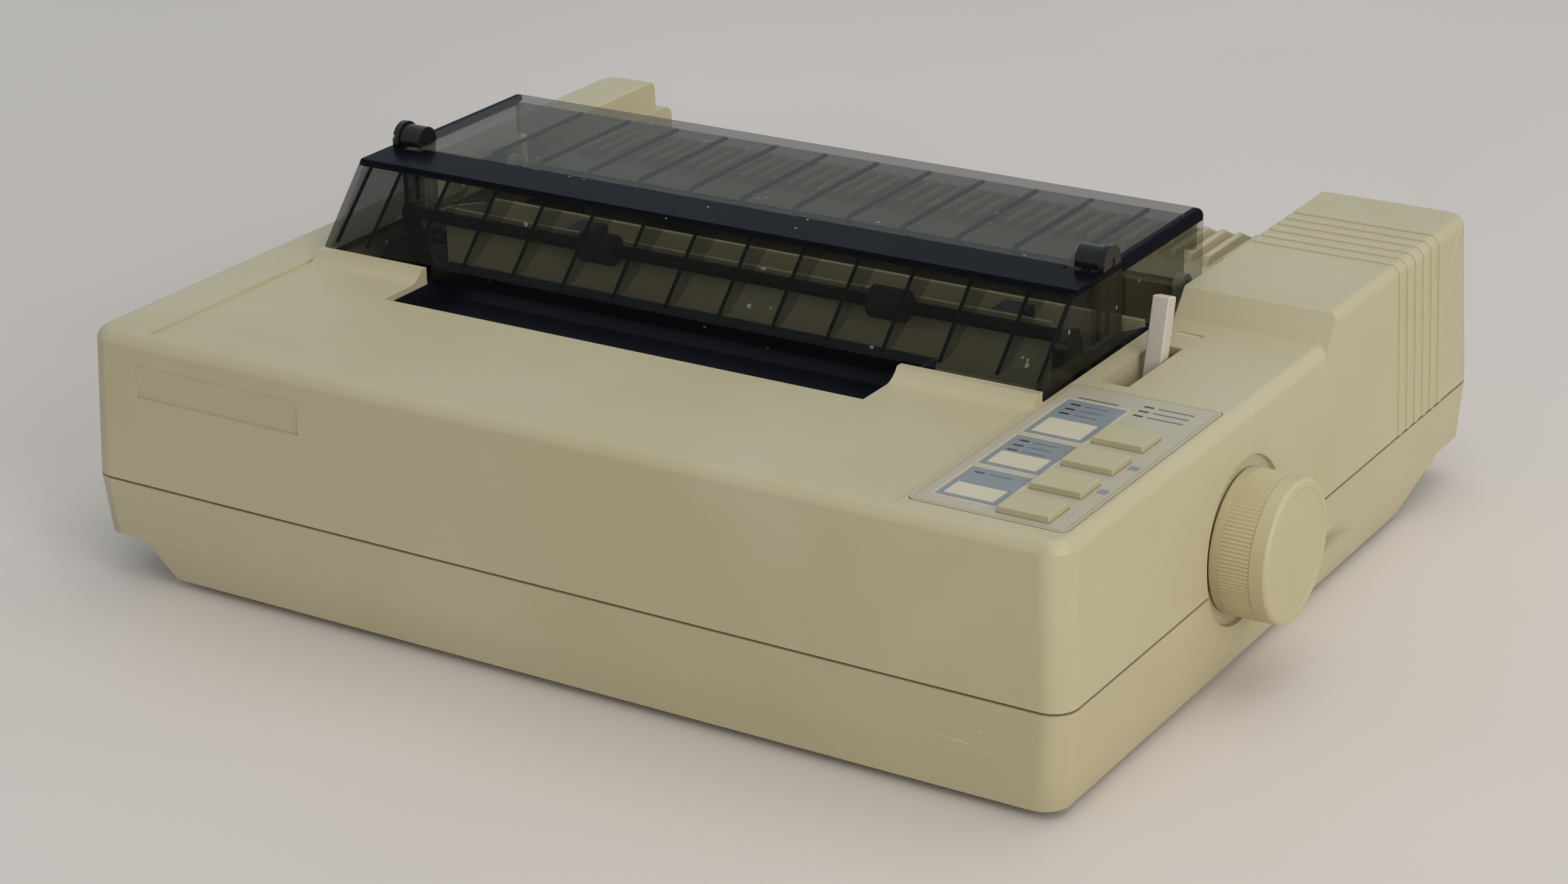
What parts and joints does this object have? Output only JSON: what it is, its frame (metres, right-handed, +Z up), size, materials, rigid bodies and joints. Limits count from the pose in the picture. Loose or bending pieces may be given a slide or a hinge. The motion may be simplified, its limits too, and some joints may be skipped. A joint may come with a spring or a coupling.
{
  "type": "dot matrix printer",
  "caption": "Beige desktop dot-matrix printer with smoked hinged covers, platen knob, release lever and a panel of push buttons",
  "frame": {"origin": "centre of the footprint, on the surface that the feet stand on", "axes": "+X to the right as seen from the front (along the platen), +Y to the rear, +Z up"},
  "size_m": [0.4164, 0.333, 0.1355],
  "materials": {
    "case_plastic": "fine moulded texture, aged beige",
    "button_plastic": "smooth satin, aged cream",
    "smoked_plastic": "clear smoked, polished",
    "panel_film": "fine printed film, pale grey",
    "lever_plastic": "smooth satin, pinkish grey",
    "black_plastic": "moulded, satin",
    "white_plastic": "natural acetal",
    "rubber": "ground matt rubber",
    "steel": "ground bar",
    "zinc_sheet": "zinc plated sheet",
    "head_metal": "dark cast",
    "board": "green circuit board"
  },
  "bodies": {
    "chassis": {"lower_case": "case_plastic", "upper_case": "case_plastic", "paper_guide": "case_plastic", "panel_label": "panel_film", "inner_shield": "black_plastic", "data_connector": "black_plastic", "power_inlet": "black_plastic", "power_switch": "black_plastic", "platen_bush_left": "white_plastic", "platen_bush_right": "white_plastic", "foot_front_left": "rubber", "foot_front_right": "rubber", "foot_rear_left": "rubber", "foot_rear_right": "rubber", "carriage_belt": "rubber", "tractor_rod": "steel", "guide_rod": "steel", "hinge_pin_left": "steel", "hinge_pin_right": "steel", "case_screw_front_left": "steel", "case_screw_front_right": "steel", "case_screw_rear_left": "steel", "case_screw_rear_right": "steel", "side_frame_left": "zinc_sheet", "side_frame_right": "zinc_sheet", "guide_rail": "zinc_sheet", "feed_motor": "zinc_sheet", "carriage_motor": "zinc_sheet", "transformer": "zinc_sheet", "panel_board": "board", "main_board": "board"},
    "hood": {"rear_cover": "smoked_plastic"},
    "cover": {"front_cover": "smoked_plastic"},
    "platen": {"platen_roller": "rubber", "platen_shaft": "steel", "platen_knob": "case_plastic", "platen_gear": "white_plastic"},
    "idler": {"idler_gear": "white_plastic"},
    "pinion": {"feed_pinion": "steel"},
    "tractor_drive": {"tractor_shaft": "steel", "tractor_gear": "white_plastic"},
    "pinch": {"pinch_roller": "rubber"},
    "print_carriage": {"carriage": "black_plastic", "print_head": "head_metal", "ribbon_cartridge": "black_plastic"},
    "drive_pulley_body": {"drive_pulley": "zinc_sheet"},
    "idler_pulley_body": {"idler_pulley": "white_plastic"},
    "bail": {"paper_bail": "steel"},
    "bail_roller_left_body": {"bail_roller_left": "rubber"},
    "bail_roller_right_body": {"bail_roller_right": "rubber"},
    "lever": {"release_lever": "lever_plastic"},
    "tractor_left_body": {"tractor_left": "black_plastic"},
    "tractor_right_body": {"tractor_right": "black_plastic"},
    "rocker": {"power_rocker": "black_plastic"},
    "button_1_body": {"button_1": "button_plastic"},
    "button_2_body": {"button_2": "button_plastic"},
    "button_3_body": {"button_3": "button_plastic"},
    "button_4_body": {"button_4": "button_plastic"}
  },
  "joints": [
    {"name": "hood_hinge", "type": "hinge", "parent": "chassis", "child": "hood", "pos_m": [-0.0277, 0.055, 0.1], "axis": [1, 0, 0], "range_deg": [-60, 0]},
    {"name": "cover_hinge", "type": "hinge", "parent": "hood", "child": "cover", "pos_m": [-0.0277, -0.01, 0.129], "axis": [1, 0, 0], "range_deg": [-100, 0]},
    {"name": "platen_turn", "type": "hinge", "parent": "chassis", "child": "platen", "pos_m": [-0.0092, -0.0365, 0.05], "axis": [1, 0, 0], "continuous": true},
    {"name": "idler_turn", "type": "hinge", "parent": "chassis", "child": "idler", "pos_m": [-0.1662, -0.00676, 0.05524], "axis": [1, 0, 0], "continuous": true},
    {"name": "pinion_turn", "type": "hinge", "parent": "chassis", "child": "pinion", "pos_m": [-0.1662, 0.01034, 0.06147], "axis": [1, 0, 0], "continuous": true},
    {"name": "tractor_turn", "type": "hinge", "parent": "chassis", "child": "tractor_drive", "pos_m": [-0.0092, 0.01505, 0.07905], "axis": [1, 0, 0], "continuous": true},
    {"name": "pinch_turn", "type": "hinge", "parent": "chassis", "child": "pinch", "pos_m": [-0.0092, -0.0365, 0.0287], "axis": [1, 0, 0], "continuous": true},
    {"name": "carriage_slide", "type": "slide", "parent": "chassis", "child": "print_carriage", "axis": [1, 0, 0], "range_m": [-0.1, 0.1]},
    {"name": "drive_pulley_turn", "type": "hinge", "parent": "chassis", "child": "drive_pulley_body", "pos_m": [0.0968, -0.121, 0.03], "axis": [0, 0, 1], "continuous": true},
    {"name": "idler_pulley_turn", "type": "hinge", "parent": "chassis", "child": "idler_pulley_body", "pos_m": [-0.1522, -0.121, 0.03], "axis": [0, 0, 1], "continuous": true},
    {"name": "bail_swing", "type": "hinge", "parent": "chassis", "child": "bail", "pos_m": [-0.0092, -0.008, 0.066], "axis": [1, 0, 0], "range_deg": [0, 68]},
    {"name": "bail_roller_left_turn", "type": "hinge", "parent": "bail", "child": "bail_roller_left_body", "pos_m": [-0.0822, -0.02034, 0.10329], "axis": [1, 0, 0], "continuous": true},
    {"name": "bail_roller_right_turn", "type": "hinge", "parent": "bail", "child": "bail_roller_right_body", "pos_m": [0.0428, -0.02034, 0.10329], "axis": [1, 0, 0], "continuous": true},
    {"name": "lever_swing", "type": "hinge", "parent": "chassis", "child": "lever", "pos_m": [0.1398, -0.015, 0.058], "axis": [1, 0, 0], "range_deg": [-6, 26]},
    {"name": "tractor_left_slide", "type": "slide", "parent": "chassis", "child": "tractor_left_body", "axis": [1, 0, 0], "range_m": [-0.042, 0.06]},
    {"name": "tractor_right_slide", "type": "slide", "parent": "chassis", "child": "tractor_right_body", "axis": [1, 0, 0], "range_m": [-0.06, 0.03]},
    {"name": "rocker_tilt", "type": "hinge", "parent": "chassis", "child": "rocker", "pos_m": [-0.2024, 0.105, 0.058], "axis": [0, 1, 0], "range_deg": [-16, 0]},
    {"name": "button_1_press", "type": "slide", "parent": "chassis", "child": "button_1_body", "axis": [0, 0, -1], "range_m": [0, 0.0012], "stiffness_N_per_m": 200, "springref_m": -0.0005},
    {"name": "button_2_press", "type": "slide", "parent": "chassis", "child": "button_2_body", "axis": [0, 0, -1], "range_m": [0, 0.0012], "stiffness_N_per_m": 200, "springref_m": -0.0005},
    {"name": "button_3_press", "type": "slide", "parent": "chassis", "child": "button_3_body", "axis": [0, 0, -1], "range_m": [0, 0.0012], "stiffness_N_per_m": 200, "springref_m": -0.0005},
    {"name": "button_4_press", "type": "slide", "parent": "chassis", "child": "button_4_body", "axis": [0, 0, -1], "range_m": [0, 0.0012], "stiffness_N_per_m": 200, "springref_m": -0.0005}
  ],
  "couplings": [
    {"joint": "idler_turn", "follows": "platen_turn", "ratio": -1.5},
    {"joint": "pinion_turn", "follows": "platen_turn", "ratio": 3},
    {"joint": "tractor_turn", "follows": "platen_turn", "ratio": -1.5},
    {"joint": "pinch_turn", "follows": "platen_turn", "ratio": -2.5},
    {"joint": "drive_pulley_turn", "follows": "carriage_slide", "rad_per_m": -142.86},
    {"joint": "idler_pulley_turn", "follows": "carriage_slide", "rad_per_m": -142.86}
  ]
}
